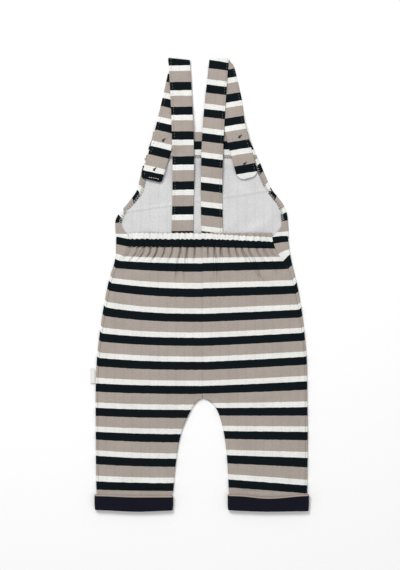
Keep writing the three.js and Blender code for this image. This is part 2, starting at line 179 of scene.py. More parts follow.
# Striped single jersey, knitted and printed: matt, with a soft nap, its colours broken by the stitches
def stripedJersey(name, white, taupe, black, relief):
    material, tree, shader = newMaterial(name)
    lay = addNode(tree, "UVMap", uv_map="cloth")
    parts = addNode(tree, "SeparateXYZ", {"Vector": lay}).outputs
    across, along = parts["X"], parts["Y"]
    wander = addNode(tree, "TexNoise", {"Vector": lay, "Scale": 1 / jersey["wanderEvery"], "Detail": 3.0})
    centred = addNode(tree, "Math", {0: wander, 1: 0.5}, operation="SUBTRACT")
    shift = addNode(tree, "Math", {0: centred, 1: jersey["waver"] * 2, 2: along}, operation="MULTIPLY_ADD")
    row = addNode(tree, "Math", {0: shift, 1: jersey["repeat"]}, operation="DIVIDE")
    share = addNode(tree, "Math", {0: row}, operation="FRACT")
    stripes = addNode(tree, "ValToRGB", {"Fac": share})
    ramp = stripes.color_ramp
    half = jersey["edge"] / jersey["repeat"] / 2
    lapEnd = jersey["lap"] / jersey["repeat"]
    whiteEnd = lapEnd + jersey["white"] / jersey["repeat"]
    taupeEnd = whiteEnd + jersey["taupe"] / jersey["repeat"]
    stops = [(0.0, black), (lapEnd - half, black), (lapEnd + half, white), (whiteEnd - half, white),
             (whiteEnd + half, taupe), (taupeEnd - half, taupe), (taupeEnd + half, black)]
    ramp.elements[0].color = linear(stops[0][1])
    ramp.elements[1].position, ramp.elements[1].color = stops[-1][0], linear(stops[-1][1])
    for position, colour in stops[1:-1]:
        ramp.elements.new(position).color = linear(colour)

    mottle = addNode(tree, "TexNoise", {
        "Vector": lay, "Scale": 1 / jersey["napEvery"], "Detail": 4.0, "Roughness": 0.65})
    broad = addNode(tree, "TexNoise", {"Vector": lay, "Scale": 1 / jersey["patchEvery"], "Detail": 2.0})
    waves = {}
    for mark, source, shape in (("needleLine", across, "COSINE"), ("rib", across, "SINE"),
                                ("course", along, "SINE")):
        turns = addNode(tree, "Math", {0: source, 1: 2 * math.pi / jersey[mark]}, operation="MULTIPLY")
        waves[mark] = addNode(tree, "Math", {0: turns}, operation=shape)
    drawnLine = addNode(tree, "MapRange", {"Value": waves["needleLine"], "From Min": 0.72, "From Max": 1.0})

    # the stripes' colours, made lighter and darker by all of these
    shades = [
        addNode(tree, "MapRange", {
            "Value": mottle, "From Min": 0.3, "From Max": 0.7, "To Min": 0.86, "To Max": 1.08}),
        addNode(tree, "MapRange", {
            "Value": broad, "From Min": 0.3, "From Max": 0.7, "To Min": 0.95, "To Max": 1.04}),
        addNode(tree, "MapRange", {"Value": drawnLine, "To Min": 1.0, "To Max": 0.955}),
    ]
    shade = shades[0]
    for other in shades[1:]:
        shade = addNode(tree, "Math", {0: shade, 1: other}, operation="MULTIPLY")
    knit = addNode(tree, "Math", {0: waves["rib"], 1: waves["course"]}, operation="MULTIPLY")
    fuzz = addNode(tree, "Math", {0: mottle, 1: 1.6, 2: knit}, operation="MULTIPLY_ADD")
    height = addNode(tree, "Math", {0: drawnLine, 1: -1.2, 2: fuzz}, operation="MULTIPLY_ADD")
    plugIn(tree, shader, {
        "Base Color": addNode(tree, "VectorMath", {0: stripes, "Scale": shade}, operation="SCALE"),
        "Normal": addNode(tree, "Bump", {"Strength": relief, "Distance": jersey["relief"], "Height": height}),
        "Roughness": addNode(tree, "MapRange", {"Value": mottle, "To Min": 0.82, "To Max": 0.98}),
        "Sheen Weight": 0.03, "Sheen Roughness": 0.5, "Specular IOR Level": 0.08})
    return material


outside = stripedJersey("printed cotton jersey, knitted", "#ecece8", "#aaa098", "#0b1418", 0.35)
inside = stripedJersey("wrong side of printed jersey", "#d4d4d5", "#d4d4d5", "#d3d3d4", 0.25)


# Navy jersey, knitted and dyed plain, doubled: matt and nearly black, with fine ribs
def navyJersey():
    material, tree, shader = newMaterial("navy cotton jersey, knitted")
    lay = addNode(tree, "UVMap", uv_map="cloth")
    parts = addNode(tree, "SeparateXYZ", {"Vector": lay}).outputs
    mottle = addNode(tree, "TexNoise", {
        "Vector": lay, "Scale": 1 / otherGrain["cuffNap"], "Detail": 4.0, "Roughness": 0.7})
    turns = addNode(tree, "Math", {0: parts["X"], 1: 2 * math.pi / jersey["rib"]}, operation="MULTIPLY")
    ribs = addNode(tree, "Math", {0: turns}, operation="SINE")
    height = addNode(tree, "Math", {0: mottle, 1: 2.0, 2: ribs}, operation="MULTIPLY_ADD")
    colours = addNode(tree, "Mix", {"Factor": mottle, 6: linear("#090a13"), 7: linear("#151625")},
                      data_type="RGBA")
    # the edge where the leg's own cloth is rolled over the cuff's top
    rim = addNode(tree, "MapRange", {"Value": parts["Y"], "From Min": 18.2, "From Max": 18.6})
    edged = addNode(tree, "Mix", {"Factor": rim, 6: colours.outputs[2], 7: linear("#ae9f96")},
                    data_type="RGBA")
    plugIn(tree, shader, {
        "Base Color": edged.outputs[2],
        "Normal": addNode(tree, "Bump", {"Strength": 0.35, "Distance": jersey["relief"], "Height": height}),
        "Roughness": 0.92, "Sheen Weight": 0.03, "Specular IOR Level": 0.15})
    return material


# A material of two close colours, in specks of one size
def speckled(name, grain, detail, first, second):
    material, tree, shader = newMaterial(name)
    place = addNode(tree, "TexCoord").outputs["Object"]
    specks = addNode(tree, "TexNoise", {"Vector": place, "Scale": 1000 / grain, "Detail": detail})
    colours = addNode(tree, "Mix", {"Factor": specks, 6: linear(first), 7: linear(second)}, data_type="RGBA")
    plugIn(tree, shader, {"Base Color": colours.outputs[2]})
    return material, tree, shader, specks


# Spun polyester sewing thread: round, with a slight sheen and a twist too fine to see
def sewingThread(name, dark, light):
    material, tree, shader, twist = speckled(name, otherGrain["threadTwist"], 2.0, dark, light)
    plugIn(tree, shader, {"Roughness": 0.6, "Sheen Weight": 0.1})
    return material


# Moulded polyester resin button: near black, polished, with a cloudy mottle
def buttonResin():
    material, tree, shader, cloud = speckled(
        "polyester resin, moulded and polished", otherGrain["resinCloud"], 3.0, "#14161b", "#2b2e36")
    wear = addNode(tree, "MapRange", {"Value": cloud, "To Min": 0.22, "To Max": 0.42})
    plugIn(tree, shader, {"Roughness": wear, "IOR": 1.55})
    return material


# Woven polyester label tape: off-white, satin, with fine ribs across
def labelTape():
    material, tree, shader = newMaterial("woven label tape")
    place = addNode(tree, "TexCoord").outputs["Object"]
    parts = addNode(tree, "SeparateXYZ", {"Vector": place}).outputs
    turns = addNode(tree, "Math", {0: parts["Y"], 1: 2000 * math.pi / otherGrain["tapeRib"]},
                    operation="MULTIPLY")
    ribs = addNode(tree, "Math", {0: turns}, operation="SINE")
    tone = addNode(tree, "MapRange", {"Value": ribs, "From Min": -1.0, "From Max": 1.0})
    colours = addNode(tree, "Mix", {"Factor": tone, 6: linear("#dcdbd6"), 7: linear("#efeeea")},
                      data_type="RGBA")
    plugIn(tree, shader, {
        "Base Color": colours.outputs[2],
        "Normal": addNode(tree, "Bump", {"Strength": 0.3, "Distance": jersey["relief"], "Height": ribs}),
        "Roughness": 0.7})
    return material


navy = navyJersey()
resin = buttonResin()
tape = labelTape()
whiteThread = sewingThread("white sewing thread", "#dedcd6", "#f5f4f0")
blackThread = sewingThread("black sewing thread", "#0e1013", "#202327")
# the straps' topstitch thread: its mid-grey is partly the thread's own colour and partly painted shade of the
# needle holes, so that it reads dark on the light stripes and light on the black
greyThreadAndHoleShade = sewingThread("grey sewing thread and painted hole shade", "#6f6a67", "#8b8580")
print("materials made")


# A cloth shell laid over place(u, v), which gives the cloth's middle, or its upper side where that is shown;
# pattern(u, v) gives where on the cloth this is, in mm
def layCloth(name, place, pattern, columns, rows, wall, finish,
             ring=False, lining=None, rounded=False, shown="middle"):
    bm = bmesh.new()
    bmesh.ops.create_grid(bm, x_segments=columns, y_segments=rows, size=0.5)
    shares = {vert: (vert.co.x + 0.5, vert.co.y + 0.5) for vert in bm.verts}
    onCloth = {vert: pattern(*share) for vert, share in shares.items()}
    uvLayer = bm.loops.layers.uv.new("cloth")
    for face in bm.faces:
        face.smooth = True
        for loop in face.loops:
            loop[uvLayer].uv = onCloth[loop.vert]
    for vert, share in shares.items():
        vert.co = inFrame(*place(*share))
    if ring:
        bmesh.ops.remove_doubles(bm, verts=bm.verts, dist=0.00001)
    for edge in bm.edges:
        edge.smooth = not edge.is_boundary
    bm.normal_update()
    if shown == "top" and sum(face.normal.z for face in bm.faces) < 0:
        bmesh.ops.reverse_faces(bm, faces=bm.faces)
    mesh = bpy.data.meshes.new(name)
    bm.to_mesh(mesh)
    bm.free()
    piece = bpy.data.objects.new(name, mesh)
    bpy.context.collection.objects.link(piece)
    mesh.materials.append(finish)
    solid = piece.modifiers.new("wall", "SOLIDIFY")
    solid.thickness = wall / 1000
    solid.offset = -1 if shown == "top" else 0    # below the surface that was drawn, or half to either side
    solid.use_quality_normals = True
    if lining:
        mesh.materials.append(lining)
        solid.material_offset = 1
        solid.material_offset_rim = 0
    if rounded:
        soften = piece.modifiers.new("soften", "SUBSURF")
        soften.levels = soften.render_levels = 1
    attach(piece, "root")
    return piece


# Stitches and thread: each strand is a list of points, all in one curve
def sewThread(name, strands, radius, finish):
    curve = bpy.data.curves.new(name, "CURVE")
    curve.dimensions = "3D"
    curve.bevel_depth = radius / 1000
    curve.bevel_resolution = 1
    curve.use_fill_caps = True
    for strand in strands:
        spline = curve.splines.new("POLY")
        spline.points.add(len(strand) - 1)
        for point, at in zip(spline.points, strand):
            point.co = (*inFrame(*at), 1.0)
    curve.materials.append(finish)
    piece = bpy.data.objects.new(name, curve)
    bpy.context.collection.objects.link(piece)
    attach(piece, "root")
    return piece


# Trouser halves. m is the distance from the centre seam on one side.

sides = {"left": -1, "right": 1}

trouserSections = table(
    "y left right seamLeft seamRight loft",
    (0, 127.0, 125.4, 2.8, 2.8, 0.0),
    (20, 127.0, 125.4, 2.8, 2.8, 0.0),
    (32, 127.4, 125.6, 2.8, 2.8, 1.2),
    (85, 128.0, 126.2, 2.8, 2.8, 1.5),
    (140, 128.2, 125.6, 2.8, 2.8, 1.5),
    (174, 127.2, 125.2, 2.8, 2.8, 1.5),
    (217, 122.8, 121.8, 3.2, 3.0, 1.6),
    (260, 115.8, 115.8, 3.4, 4.2, 1.9),
    (282, 110.8, 111.0, 3.8, 4.8, 2.3),
    (299, 105.4, 106.8, 4.6, 8.6, 2.8),
    (312, 103.8, 104.5, 13.2, 16.6, 3.2),
    (334, 103.5, 102.5, 15.2, 19.2, 3.3),
)
outline = {side: curveOf(trouserSections, side) for side in sides}
seamIn = {side: curveOf(trouserSections, "seam" + side.capitalize()) for side in sides}
loftAt = curveOf(trouserSections, "loft")

# The crotch arch opens as a root of the way down, eases into straight inseams and leans to the left
arch = {
    "open": 4.6, "ease": 0.0045, "lean": 0.024, "blend": 8.0,
    "left": -2.8, "leftMiddle": 14.0, "leftWidth": 22.0,    # mm that the left inseam stays in, round a place
    "right": 1.6, "rightFrom": 14.0,                        # and that the right one stands out below a place
}
cuffEdges = {"left": {"outer": 129.6, "inner": 34.8}, "right": {"outer": 127.8, "inner": 29.8}}

# Where the black stripes have their upper edge on the back, and how far each stripe rises at the
# centre or inseam and at the side fold
stripeRows = table(
    "y stripe leftIn leftOut rightIn rightOut",
    (-22.4, -1, -1.0, 0.0, 5.0, -3.0),
    (6.2, 0, -1.0, 0.0, 5.0, -3.4),
    (34.8, 1, -1.3, 0.5, 5.0, -3.4),
    (64.6, 2, -2.0, 1.1, 3.0, -0.6),
    (92.6, 3, -0.5, 2.0, 3.6, 2.3),
    (121.2, 4, 0.0, 2.1, 2.4, 3.1),
    (150.0, 5, 0.0, 2.4, 0.0, 4.9),
    (178.8, 6, 0.0, 4.0, 0.0, 5.8),
    (207.6, 7, 0.0, 4.8, 0.0, 5.8),
    (236.6, 8, -0.3, 7.2, -0.3, 4.9),
    (266.4, 9, 0.0, 8.6, 0.4, 4.0),
    (297.6, 10, -1.0, 4.0, -0.6, 2.6),
    (325.2, 11, 0.0, 1.0, 0.4, -4.4),
    (354.6, 12, 0.0, 1.0, 0.4, -4.4),
)
stripeAt = curveOf(stripeRows, "stripe")
riseIn = {side: curveOf(stripeRows, side + "In") for side in sides}
riseOut = {side: curveOf(stripeRows, side + "Out") for side in sides}
riseBend = {"left": 2.4, "right": 1.15}


# Place of a point of the trousers in the stripes, in mm up the cloth
def stripeHeight(side, m, y):
    height = round(y, 1)
    share = clamp(abs(m) / 118, 0, 1.2) ** riseBend[side]
    rise = lerp(riseIn[side](height), riseOut[side](height), share)
    return jersey["repeat"] * stripeAt(round(y - rise, 2))


@lru_cache(maxsize=None)
def layersAt(side, y):
    tucked = 1 - smooth(y, garment["cuffTop"], garment["cuffTop"] + garment["tuckLength"])
    down = max(garment["archTop"] - y, 0)
    opening = arch["open"] * math.sqrt(down) / (1 + arch["ease"] * down) - sides[side] * arch["lean"] * down
    if down and side == "left":
        opening += arch["left"] * bell(down - arch["leftMiddle"], arch["leftWidth"])
    elif down:
        opening += arch["right"] * smooth(down, 0, arch["rightFrom"])
    radius = lerp(garment["foldRadius"], garment["tuckedRadius"], tucked)
    limit = math.acos(garment["seamGap"] / 2 / radius)
    angle = limit * (1 - smooth(y, garment["archTop"], garment["archTop"] + arch["blend"]))
    edge = lerp(opening, cuffEdges[side]["inner"] + garment["cuffWall"] + garment["tuckGap"], tucked)
    outer = outline[side](y)
    return {
        "outer": outer - garment["clothWall"] / 2,
        "inner": garment["closedSeam"] / 2 + edge + garment["clothWall"] / 2 * math.sin(angle),
        "seam": outer - seamIn[side](y),
        "level": garment["clothWall"] / 2 + tucked * (garment["cuffWall"] + garment["seamGap"]),
        "radius": radius,
        "angle": angle,
        "open": angle / limit,
        "loft": loftAt(y),
    }


# Goes along a path of stretches, each with its length and how closely it is sampled
def alongPath(u, stretches):
    total = sum(length * density for length, density in stretches)
    left = u * total
    for k, (length, density) in enumerate(stretches):
        if left <= length * density or k == len(stretches) - 1:
            return k, clamp(left / (length * density)) if length > 0 else 1.0
        left -= length * density


gathers = {
    "left": table(
        "share depth reach",
        (0.04, 0.7, 16), (0.135, 1.0, 24), (0.223, 1.0, 18), (0.31, 0.9, 16), (0.397, 1.1, 20),
        (0.496, 0.9, 18), (0.6, 0.8, 24), (0.707, 1.1, 38), (0.8, 1.0, 26), (0.9, 0.9, 18)),
    "right": table(
        "share depth reach",
        (0.055, 0.8, 22), (0.15, 1.1, 30), (0.25, 1.0, 24), (0.36, 1.1, 36), (0.453, 1.0, 24),
        (0.54, 0.9, 16), (0.64, 0.8, 16), (0.745, 1.0, 20), (0.83, 1.1, 36), (0.925, 0.8, 18)),
}
gatherLook = {
    "wave": 0.7,             # share of the solid's soft wave that the cloth shows
    "pinchDepth": 4.0,       # mm: the sharp bottom of each gather
    "pinchWidth": 0.65,
    "pinchSpread": 0.02,     # mm that it widens for each mm down
    "pinchNear": 4.0,        # mm to either side, past which it no longer counts
    "hold": 0.3,             # share of the wave's reach that the pinch keeps its full depth
    "carry": 1.35,           # and how much farther than the wave it reaches
    "longest": 48.0,         # mm below the waistband where the last gather has died out
}


# Wave of the gathers: lowest on each crease, highest halfway between two
def gatherWave(side, share, y):
    folds = gathers[side]
    k = 0
    while k < len(folds) - 2 and folds[k + 1]["share"] <= share:
        k += 1
    low, high = folds[k], folds[k + 1]
    phase = (share - low["share"]) / (high["share"] - low["share"])
    mix = clamp(phase)
    depth = lerp(low["depth"], high["depth"], mix)
    reach = lerp(low["reach"], high["reach"], mix)
    below = garment["bandBottom"] - y
    return -depth * math.cos(2 * math.pi * phase) * (1 - smooth(below, 0, reach))


def gatherPinch(side, share, y, spread):
    below = garment["bandBottom"] - y
    if below > gatherLook["longest"]:
        return 0.0
    total = 0.0
    for fold in gathers[side]:
        distance = (share - fold["share"]) * spread
        if abs(distance) < gatherLook["pinchNear"]:
            fade = 1 - smooth(below, fold["reach"] * gatherLook["hold"], fold["reach"] * gatherLook["carry"])
            width = gatherLook["pinchWidth"] + gatherLook["pinchSpread"] * below
            total -= gatherLook["pinchDepth"] * fold["depth"] * fade * bell(distance, width)
    return total


# Soft troughs and ridges on the back halves, listed one by one: from one point to another
creases = table(
    "fromX fromY toX toY depth width",
    (46, 315, 75, 272, -1.9, 1.2),
    (55, 308, 82, 270, 0.7, 3.0),
    (85, 316, 99, 297, -2.6, 1.0),
    (-26.4, 318, -20.8, 272, -1.5, 1.1),
    (-18.9, 318, -18.9, 284, -1.6, 0.9),
    (13.9, 318, 13.9, 277, -1.6, 0.9),
    (21.5, 318, 22.0, 298, -1.8, 0.8),
    (-84, 317, -97, 293, -1.8, 1.0),
    (-70, 317, -80, 302, -1.8, 0.9),
    (-91, 296, -94, 252, -1.0, 5.0),
    (-84, 296, -80, 262, 0.6, 4.0),
    (6, 296, 4, 250, -0.8, 5.0),
    (-45, 296, -48, 262, -0.5, 5.0),
    (98, 290, 104, 250, -0.8, 4.0),
    (-100, 284, -92, 262, -0.7, 3.0),
    (-66, 284, -60, 258, -0.6, 4.0),
    (98, 268, 104, 256, -0.9, 2.4),
    (88, 286, 96, 268, -0.6, 4.0),
    (-121, 32, -98, 33, 1.8, 3.4),
    (-126, 20.5, -94, 21.5, -3.4, 3.2),
    (-92, 30, -76, 30, 0.8, 3.6),
    (-74, 32, -40, 31, 1.7, 3.4),
    (-74, 20.5, -36, 20.5, -3.2, 3.0),
    (46, 35, 76, 31, 1.8, 3.6),
    (46, 22.5, 84, 19.4, -3.4, 3.6),
    (78, 19.6, 120, 21.0, -2.8, 2.6),
    (76, 32, 118, 29, 1.2, 3.0),
    (-3, 138, -40, 120, -0.5, 5.0),
    (3, 138, 44, 118, -0.5, 5.0),
    (-20, 250, -46, 190, 0.35, 9.0),
    (30, 240, 60, 180, 0.35, 10.0),
    (-104, 240, -92, 150, -0.35, 8.0),
    (100, 236, 90, 150, -0.35, 8.0),
)


creaseLook = {
    "overrun": 0.1,          # share of its length that a crease runs on past each end
    "full": 0.3,             # and from where it has its full depth
    "breadth": 3,            # widths to either side, past which it no longer counts
}


def creased(x, y):
    overrun, full = creaseLook["overrun"], creaseLook["full"]
    total = 0.0
    for crease in creases:
        dx, dy = crease["toX"] - crease["fromX"], crease["toY"] - crease["fromY"]
        length = math.hypot(dx, dy)
        onto = ((x - crease["fromX"]) * dx + (y - crease["fromY"]) * dy) / length
        off = abs((x - crease["fromX"]) * dy - (y - crease["fromY"]) * dx) / length
        onto /= length
        if -overrun < onto < 1 + overrun and off < creaseLook["breadth"] * crease["width"]:
            ends = smooth(onto, -overrun, full) * (1 - smooth(onto, 1 - full, 1 + overrun))
            total += crease["depth"] * ends * bell(off, crease["width"])
    return total


# Height of the upper layer above the side fold's top: rounded up to the centre seam, or over each leg
def puff(share, open_, loft):
    return loft * lerp(1 - (1 - share) ** 3, math.sin(math.pi * share), open_)


backCut = {
    "columns": 225, "rows": 205,
    "crowd": 1.35,           # rows lie closer together towards the waist
    "seamDip": 0.35,         # mm that the cloth dips into the centre back seam
    "seamDipWidth": 1.6,
    "creaseFade": 8,         # creases fade over this fraction of the width towards a seam
    "lowest": 1.6,           # walls above the middle of the front's own layer, which it lies on
    "flat": (0.165, 0.335), "area": 0.0425,
}


def backHalf(side):
    @lru_cache(maxsize=None)
    def heightOf(v):
        rise = garment["bandBottom"] - garment["legEnd"]
        return garment["bandBottom"] - rise * (1 - v) ** backCut["crowd"]

    def walk(u, v):
        y = heightOf(v)
        at = layersAt(side, y)
        start = at["seam"] - garment["seamGap"] / 2
        topEnd = at["inner"] + at["radius"] * math.sin(at["angle"])
        stretches = [(start - topEnd, 1.0), (at["radius"] * at["angle"], 2.0)]
        return y, at, start, topEnd, alongPath(u, stretches)

    def place(u, v):
        y, at, start, topEnd, (k, along) = walk(u, v)
        share = along if k == 0 else 1.0
        turn = at["angle"] * along if k == 1 else 0.0
        face = at["radius"] + garment["clothWall"] / 2
        m = lerp(start, topEnd, share) - face * math.sin(turn)
        z = at["level"] + at["radius"] + face * math.cos(turn) + puff(share, at["open"], at["loft"])
        if k == 0:
            z += gatherLook["wave"] * gatherWave(side, share, y)
            z += gatherPinch(side, share, y, start - topEnd)
            inwards = min(share, 1 - share * at["open"]) * backCut["creaseFade"]
            z += creased(sides[side] * m, y) * clamp(inwards)
            z -= (1 - at["open"]) * backCut["seamDip"] * bell(start * (1 - share), backCut["seamDipWidth"])
            z = max(z, at["level"] + backCut["lowest"] * garment["clothWall"])
        return sides[side] * m, y, z

    def pattern(u, v):
        y, at, start, topEnd, (k, along) = walk(u, v)
        m = lerp(start, topEnd, along if k == 0 else 1.0)
        return sides[side] * m, stripeHeight(side, m, y)

    piece = layCloth(
        "back-half-" + side, place, pattern, backCut["columns"], backCut["rows"],
        garment["clothWall"], outside, shown="top")
    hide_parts("back_" + side)
    return piece


# Slope of the stripes on a front's wrapped edge, and how far they lie above the waistband's
wrapRows = table(
    "y left right leftUp rightUp",
    (150, 0.0, 0.0, 0.0, 0.0),
    (200, 0.9, 0.5, 0.0, 0.0),
    (285, 0.9, 0.9, 0.0, 0.0),
    (299, 0.5, 0.5, 0.0, 0.5),
    (312, 0.22, 0.3, 0.0, 4.0),
    (320, 0.2, 0.14, 0.0, 6.2),
    (334, 0.2, 0.12, 0.0, 6.6),
)
wrapSlope = {side: curveOf(wrapRows, side) for side in sides}
wrapUp = {side: curveOf(wrapRows, side + "Up") for side in sides}

frontCut = {
    "columns": 120, "rows": 160,
    "sinkFrom": 308.0,       # above this the wrapped edge comes down onto the bib
    "sunkRadius": 0.85,
    "slantOver": 40.0,       # mm before the side fold over which its stripes take up the wrap's slant
    "flat": (0.15, 0.34), "area": 0.043,
}


def frontHalf(side):
    def walk(u, v):
        y = lerp(garment["legEnd"], garment["waistSeam"], v)
        at = dict(layersAt(side, y))
        sunk = smooth(y, frontCut["sinkFrom"], garment["waistSeam"])
        at["radius"] = lerp(at["radius"], frontCut["sunkRadius"], sunk)
        flatStart = at["inner"] + at["radius"] * math.sin(at["angle"])
        fold = at["outer"] - at["radius"]
        run = fold - (at["seam"] + garment["seamGap"] / 2)
        stretches = [
            (at["radius"] * at["angle"], 2.5), (fold - flatStart, 0.4),
            (math.pi * at["radius"], 2.5), (run, 1.4),
        ]
        return y, at, flatStart, fold, run, alongPath(u, stretches)

    def place(u, v):
        y, at, flatStart, fold, run, (k, along) = walk(u, v)
        radius = at["radius"]
        m, z = fold - run * along, at["level"] + 2 * radius
        if k == 0:
            turn = at["angle"] * (1 - along)
            m, z = flatStart - radius * math.sin(turn), at["level"] + radius * (1 - math.cos(turn))
        elif k == 1:
            m, z = lerp(flatStart, fold, along), at["level"]
        elif k == 2:
            turn = math.pi * along
            m, z = fold + radius * math.sin(turn), at["level"] + radius * (1 - math.cos(turn))
        return sides[side] * m, y, z

    def pattern(u, v):
        y, at, flatStart, fold, run, (k, along) = walk(u, v)
        if k < 2:
            m = lerp(flatStart, fold, along if k == 1 else 0.0)
            slanted = smooth(m, fold - frontCut["slantOver"], fold)
            rise = wrapSlope[side](round(y, 1)) * (math.pi * at["radius"] + run) * slanted
            return sides[side] * m, stripeHeight(side, m, y - rise)
        bend = math.pi * at["radius"]
        over = bend * (along if k == 2 else 1.0) + (run * along if k == 3 else 0.0)
        rise = wrapSlope[side](round(y, 1)) * (bend + run - over) + wrapUp[side](round(y, 1))
        return sides[side] * (fold + over), stripeHeight(side, fold, y - rise)

    piece = layCloth(
        "front-half-" + side, place, pattern, frontCut["columns"], frontCut["rows"],
        garment["clothWall"], outside)
    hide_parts("front_" + side)
    return piece


for side in sides:
    frontHalf(side)
    backHalf(side)
print("trouser halves laid")


waistband = {
    "columns": 300, "rows": 18,
    "wall": 2.0,
    "ripple": 0.75,          # share of the gathers' wave that the elastic keeps
    "pleats": 31, "pleatDepth": 0.5,
    "drift": (0.35, 9),      # how far the pleats stray from even spacing, and in how long waves
    "jitter": (0.2, 31),
    "frill": 0.35, "frillAhead": 0.011,
    "stripeWobble": 0.4, "wobbleAhead": 0.02,
    "crown": 0.5,
    "whiteFrom": 322.3,      # place in the stripes of the black stripe's upper edge
    "whiteSpread": 0.75,     # the white above it is drawn out to the band's top on the left half
    "spreadEnds": (-20, 60),
    "flat": (0.235, 0.018), "area": 0.0042,
}


# Narrow uneven pleats along the elastic
def pleat(u):
    turns = waistband["pleats"] * u
    for size, pace in (waistband["drift"], waistband["jitter"]):
        turns += size * math.sin(pace * u)
    return math.sin(2 * math.pi * turns)


def waistbandPlace(u, v):
    y = lerp(garment["bandBottom"] + garment["seamGap"], garment["bandTop"], v)
    side = "left" if u < 0.5 else "right"
    share = 1 - abs(2 * u - 1)
    at = layersAt(side, y)
    m = (at["seam"] - garment["seamGap"] / 2) * (1 - share)
    z = at["level"] + 2 * at["radius"] + puff(share, 0.0, at["loft"])
    z += waistband["ripple"] * gatherWave(side, share, garment["bandBottom"])
    edge = abs(2 * v - 1)
    z += waistband["pleatDepth"] * pleat(u) * (0.5 + 0.5 * edge) + waistband["crown"] * (1 - edge ** 2)
    y += waistband["frill"] * pleat(u + waistband["frillAhead"]) * edge ** 2 * (1 if v > 0.5 else -1)
    return sides[side] * m, y, z


def waistbandPattern(u, v):
    y = lerp(garment["bandBottom"], garment["bandTop"], v)
    side = "left" if u < 0.5 else "right"
    x = waistbandPlace(u, v)[0]
    above = stripeHeight(side, abs(x), y) - waistband["whiteFrom"]
    if above > 0:
        above *= lerp(waistband["whiteSpread"], 1.0, smooth(x, *waistband["spreadEnds"]))
    wobble = waistband["stripeWobble"] * pleat(u + waistband["wobbleAhead"])
    return x, waistband["whiteFrom"] + above + wobble


band = layCloth("back-waistband", waistbandPlace, waistbandPattern, waistband["columns"], waistband["rows"],
                waistband["wall"], outside, rounded=True)
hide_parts("back_waistband")
print("waistband gathered")


# The bib: a single panel, wrong side up, with its hems turned in on top of it

bibSections = table(
    "y left right",
    (330, 103.5, 102.6),
    (346, 104.0, 101.8),
    (354, 101.2, 101),
    (364, 93.0, 98.0),
    (376, 83.4, 90.0),
    (384, 78.4, 83.4),
    (397, 74.8, 76.8),
    (426, 67.8, 65.2),
    (454.8, 59.4, 54.6),
)
bibEdge = {side: curveOf(bibSections, side) for side in sides}

# Each strap's foot in the waistband, its fold at the top and its end on the bib; bend shifts it sideways,
# y being the share of the way from the fold to the end
straps = {
    "left": {
        "foot": (-24.2, 319.5), "fold": (-27.6, 542.6), "end": (-61.5, 396.6),
        "backBow": 3.0, "corner": 3.0, "pinched": 0.0,
        "bend": table("y shift", (0, 0.0), (0.06, 3.4), (0.2, 4.0), (0.5, 4.2), (0.75, 2.8), (1, 0.2)),
        "button": (-46.8, 444), "spare": (-57.6, 409.2),
        "stitchAt": -9.9, "stripeSense": -0.985, "stripeStart": 23.8, "slip": -0.3, "skew": 0.0, "slump": 0.0,
        "endStitches": 5,
    },
    "right": {
        "foot": (11.6, 319.5), "fold": (19.6, 544.0), "end": (55.2, 399.4),
        "backBow": -4.2, "corner": 8.0, "pinched": 0.1,
        "bend": table("y shift", (0, 0.0), (0.07, 3.2), (0.33, 1.9), (0.55, -2.0), (0.85, -1.2), (1, -0.4)),
        "button": (44.4, 448.2), "spare": (50.3, 415.8),
        "stitchAt": 9.9, "stripeSense": 1, "stripeStart": 2.8, "slip": -2.6, "skew": 0.084, "slump": 2.4,
        "endStitches": 0,
    },
}
buttonLift = {"height": 2.7, "flat": 10, "reach": 25}
spareLift = {"height": 1.4, "flat": 9, "reach": 20}


def patch(x, y, centre, lift):
    away = math.hypot(x - centre[0], y - centre[1])
    return lift["height"] * (1 - smooth(away, lift["flat"], lift["reach"]))


def buttonPatches(x, y):
    return sum(patch(x, y, strap["button"], buttonLift) for strap in straps.values())


bibCut = {
    "columns": 130, "rows": 100,
    "topHem": 30.6,
    "armholeHem": 7.0,
    "turn": 0.75,            # mm: radius of a turned edge
    # the slanting crease across the panel, and the soft rise before its sides
    "ridge": {"height": 1.0, "y": 373.2, "slope": 0.15, "width": 1.5},
    "bowl": {"height": 1.3, "y": 372.0, "flatness": 0.55, "radius": 88.0, "width": 9.0},
    "hemSpace": 0.2,         # mm between the top hem and what lies beside it
    "hemBelow": 1.5,         # mm that the armhole hems run on under the waistband
    "hemWidening": 20.0,     # mm over which they widen towards it
    "hemFoot": {"left": 14.5, "right": 17.5},    # mm: width of the armhole hems where they meet the waist
    "mirrorY": {"left": 384.5, "right": 387.3},    # a black stripe's upper edge on the armhole hems
    "stripeAt": 354.6, "stripeRepeat": 29.4,       # the same on the panel's outside
    "topHemStripe": 9.4,                           # and how far into a repeat the top hem's edge lies
    "flat": (0.21, 0.158), "area": 0.0236,
}
bibTurn = bibCut["turn"]


def bibPlace(u, v):
    y = lerp(garment["waistSeam"] + garment["seamGap"], garment["bibTop"] - bibTurn, v)
    x = lerp(-bibEdge["left"](y) + bibTurn, bibEdge["right"](y) - bibTurn, u)
    ridge, bowl = bibCut["ridge"], bibCut["bowl"]
    up = ridge["height"] * bell(y - ridge["y"] - ridge["slope"] * x, ridge["width"])
    away = math.hypot(x, (y - bowl["y"]) / bowl["flatness"])
    up += bowl["height"] * bell(away - bowl["radius"], bowl["width"])
    return x, y, garment["clothWall"] / 2 + buttonPatches(x, y) + up


def bibPattern(u, v):
    x, y, z = bibPlace(u, v)
    return x, jersey["repeat"] * (y - bibCut["stripeAt"]) / bibCut["stripeRepeat"]


bibPanel = layCloth("bib-panel", bibPlace, bibPattern, bibCut["columns"], bibCut["rows"],
                    garment["clothWall"], inside, lining=outside)


# Cross-section of a turned edge: round the edge and then in over the panel. Gives how far in, and how high.
def turnedEdge(share, width):
    around = math.pi * bibTurn
    arc = share * (around + width)
    if arc < around:
        turn = arc / bibTurn
        return bibTurn - bibTurn * math.sin(turn), bibTurn * (1 - math.cos(turn))
    return bibTurn + (arc - around), 2 * bibTurn


